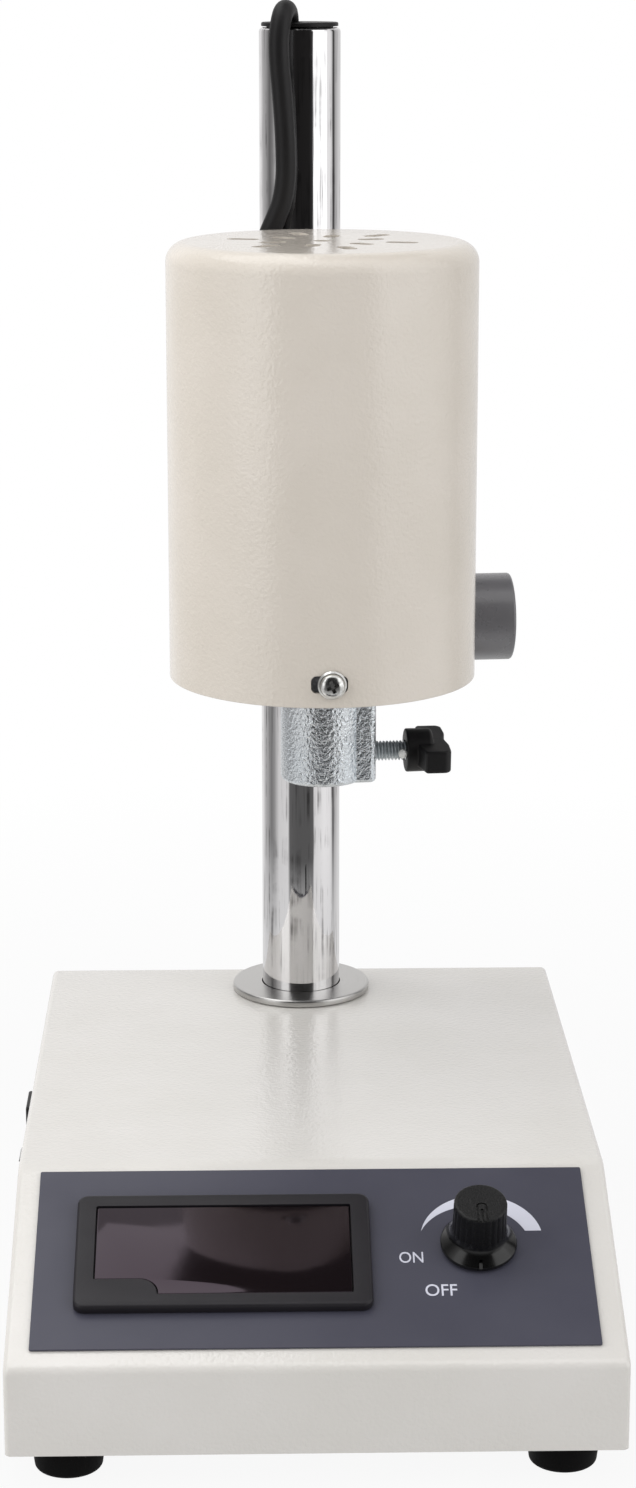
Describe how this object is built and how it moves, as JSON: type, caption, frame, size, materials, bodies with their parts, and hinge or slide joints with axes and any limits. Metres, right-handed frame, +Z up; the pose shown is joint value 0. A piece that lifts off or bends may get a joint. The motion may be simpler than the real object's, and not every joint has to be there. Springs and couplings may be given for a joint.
{
  "type": "laboratory homogenizer",
  "caption": "Bench homogenizer drive: motor head on a column over a sloping control base, with a speed knob, a panel meter and an empty tool socket.",
  "frame": {"origin": "middle of the footprint's bounding box, on the bench, under the four feet", "axes": "+Z up, +X to the right of someone facing the controls, +Y to the rear"},
  "size_m": [0.1668, 0.2468, 0.3739],
  "materials": {
    "cream_paint": "gloss stoved enamel, light warm grey",
    "zinc_plate": "zinc-plated sheet",
    "zinc_casting": "bare die casting, satin",
    "black_rubber": "moulded, matt",
    "plated_steel": "bright zinc plated",
    "black_screw": "blackened",
    "slate_overlay": "printed film, satin",
    "black_plastic": "moulded, satin",
    "rocker_plastic": "moulded, gloss",
    "meter_glass": "smoked window, gloss",
    "circuit_board": "lacquered laminate",
    "bare_aluminium": "as machined",
    "iron_core": "laminations, varnished",
    "chrome_tube": "polished chrome plate",
    "turned_flange": "turned rings, plated",
    "copper_winding": "enamelled copper",
    "brass_part": "as turned",
    "carbon": "pressed carbon",
    "grey_plastic": "moulded, satin"
  },
  "bodies": {
    "base": {"base_cover": "cream_paint", "base_plate": "zinc_plate", "foot_front_left": "black_rubber", "foot_front_right": "black_rubber", "foot_rear_left": "black_rubber", "foot_rear_right": "black_rubber", "foot_screw_front_left": "plated_steel", "foot_screw_front_right": "plated_steel", "foot_screw_rear_left": "plated_steel", "foot_screw_rear_right": "plated_steel", "control_panel": "slate_overlay", "meter_bezel": "black_plastic", "meter_window": "meter_glass", "meter_board": "circuit_board", "potentiometer": "bare_aluminium", "potentiometer_nut": "plated_steel", "switch_housing": "black_plastic", "mains_inlet": "black_plastic", "control_board": "circuit_board", "heat_sink": "bare_aluminium", "transformer": "iron_core", "column_tube": "chrome_tube", "column_flange": "turned_flange", "column_nut": "plated_steel"},
    "speed_knob": {"speed_knob": "black_plastic", "potentiometer_shaft": "bare_aluminium"},
    "rocker": {"switch_rocker": "rocker_plastic"},
    "swivel": {"column_cap": "black_plastic", "motor_cable": "black_rubber"},
    "head": {"head_bracket": "zinc_casting", "tool_socket": "zinc_casting", "motor_housing": "cream_paint", "housing_screw_front": "plated_steel", "housing_screw_right": "plated_steel", "housing_screw_left": "plated_steel", "upper_screw_left": "black_screw", "upper_screw_right": "black_screw", "cable_gland": "black_plastic", "motor_lower_frame": "bare_aluminium", "motor_upper_frame": "bare_aluminium", "stator_core": "iron_core", "field_coil_front": "copper_winding", "field_coil_rear": "copper_winding", "lower_bearing": "plated_steel", "upper_bearing": "plated_steel", "brush_holder_left": "brass_part", "brush_holder_right": "brass_part", "carbon_brush_left": "carbon", "carbon_brush_right": "carbon"},
    "rotor": {"motor_shaft": "plated_steel", "armature": "copper_winding", "commutator": "copper_winding", "cooling_fan": "black_plastic", "drive_coupling": "plated_steel"},
    "wing_tip": {"wing_screw_tip": "brass_part"},
    "wing_screw": {"wing_screw_stud": "plated_steel", "wing_screw_knob": "black_plastic"},
    "clamp_pad": {"clamp_pad": "brass_part"},
    "clamp_knob": {"clamp_stud": "plated_steel", "clamp_knob": "grey_plastic"}
  },
  "joints": [
    {"name": "head_swivel", "type": "hinge", "parent": "base", "child": "swivel", "pos_m": [0.00236, 0.09965, 0.0103], "axis": [0, 0, 1], "range_deg": [-90, 90]},
    {"name": "head_lift", "type": "slide", "parent": "swivel", "child": "head", "axis": [0, 0, 1], "range_m": [-0.06, 0.045], "deforming": ["motor_cable"]},
    {"name": "rotor_spin", "type": "hinge", "parent": "head", "child": "rotor", "pos_m": [0.00757, 0.03767, 0.0103], "axis": [0, 0, 1], "continuous": true},
    {"name": "wing_screw_slide", "type": "slide", "parent": "head", "child": "wing_tip", "axis": [-0.9965, -0.0837, 0], "range_m": [-0.0016, 0.004]},
    {"name": "wing_screw_turn", "type": "hinge", "parent": "wing_tip", "child": "wing_screw", "pos_m": [0.00757, 0.03767, 0.1569], "axis": [-0.9965, -0.0837, 0], "range_deg": [-577, 1441]},
    {"name": "clamp_slide", "type": "slide", "parent": "head", "child": "clamp_pad", "axis": [-0.9965, -0.0837, 0], "range_m": [-0.005, 0]},
    {"name": "clamp_turn", "type": "hinge", "parent": "clamp_pad", "child": "clamp_knob", "pos_m": [0.00236, 0.09965, 0.1839], "axis": [-0.9965, -0.0837, 0], "range_deg": [-1441, 1]},
    {"name": "speed_knob_turn", "type": "hinge", "parent": "base", "child": "speed_knob", "pos_m": [0.04636, -0.08439, 0.05042], "axis": [0, 0.3741, -0.9274], "range_deg": [0, 300]},
    {"name": "power_rocker", "type": "hinge", "parent": "base", "child": "rocker", "pos_m": [-0.07904, 0.01685, 0.0457], "axis": [0, -1, 0], "range_deg": [0, 24]}
  ],
  "couplings": [
    {"joint": "wing_screw_turn", "follows": "wing_screw_slide", "rad_per_m": 6283.2},
    {"joint": "clamp_turn", "follows": "clamp_slide", "rad_per_m": 5026.6}
  ]
}
